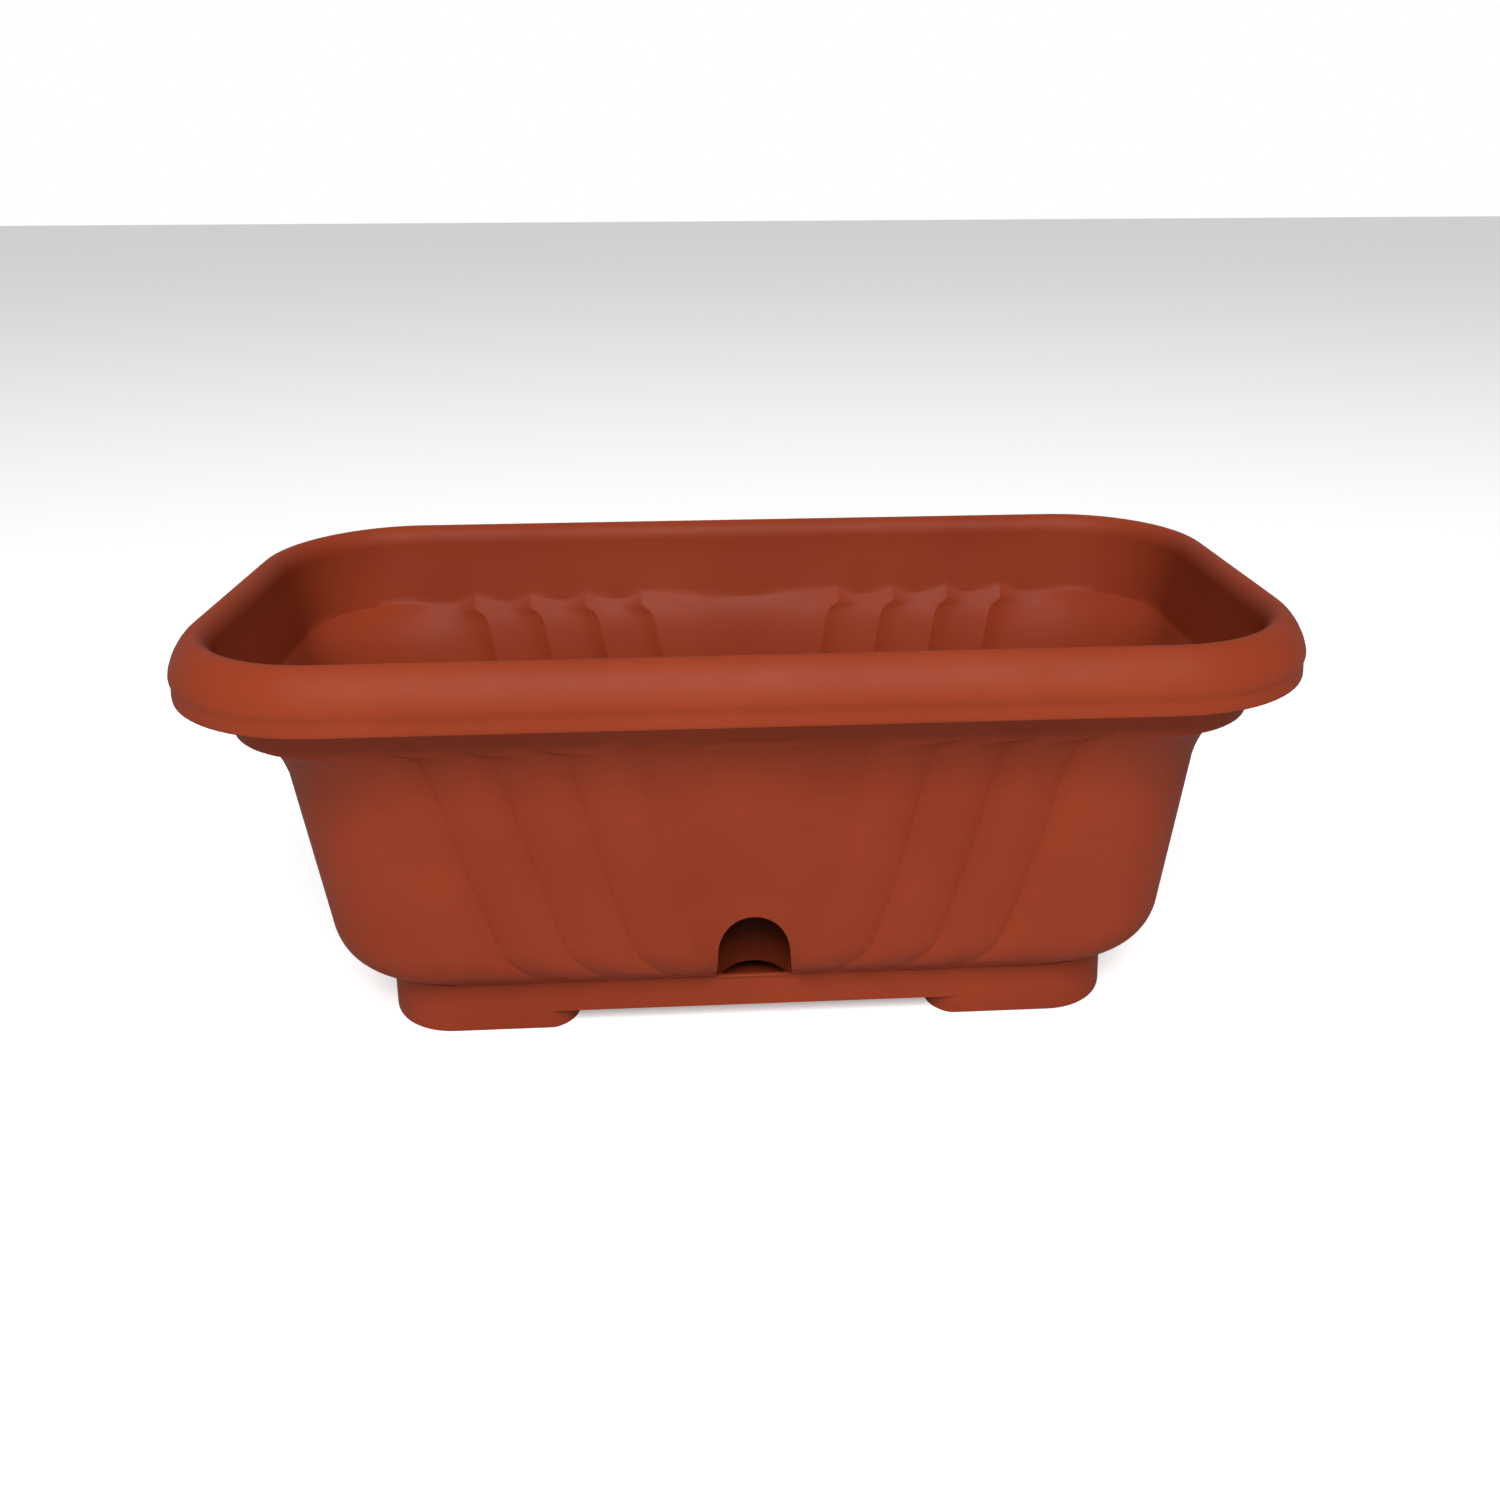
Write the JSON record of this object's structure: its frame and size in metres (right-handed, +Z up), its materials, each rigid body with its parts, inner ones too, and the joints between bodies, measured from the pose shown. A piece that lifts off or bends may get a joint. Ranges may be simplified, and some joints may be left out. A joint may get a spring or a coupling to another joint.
{
  "type": "self watering planter",
  "caption": "Fluted rectangular trough planter on a water tray with broad feet, an arched fill and overflow port, and perforated soil cups that dip into the tray.",
  "frame": {"origin": "on the ground under the middle of the planter, at the bottom centre of its box", "axes": "+X along the planter's length, -Y is the front with the fill port, +Z up"},
  "size_m": [0.4, 0.2, 0.172],
  "materials": {
    "tub_plastic": "terracotta polypropylene, satin as moulded",
    "tray_plastic": "terracotta polypropylene, satin as moulded",
    "cup_plastic": "terracotta polypropylene, satin as moulded"
  },
  "bodies": {
    "tray": {"water_tray": "tray_plastic"},
    "tub": {"planter_tub": "tub_plastic"},
    "cup_left": {"wick_cup_left": "cup_plastic"},
    "cup_right": {"wick_cup_right": "cup_plastic"}
  },
  "joints": [
    {"name": "tub_lift", "type": "slide", "parent": "tray", "child": "tub", "axis": [0, 0, 1], "range_m": [0, 0.08]},
    {"name": "cup_left_lift", "type": "slide", "parent": "tub", "child": "cup_left", "axis": [0, 0, 1], "range_m": [0, 0.17]},
    {"name": "cup_right_lift", "type": "slide", "parent": "tub", "child": "cup_right", "axis": [0, 0, 1], "range_m": [0, 0.17]}
  ]
}
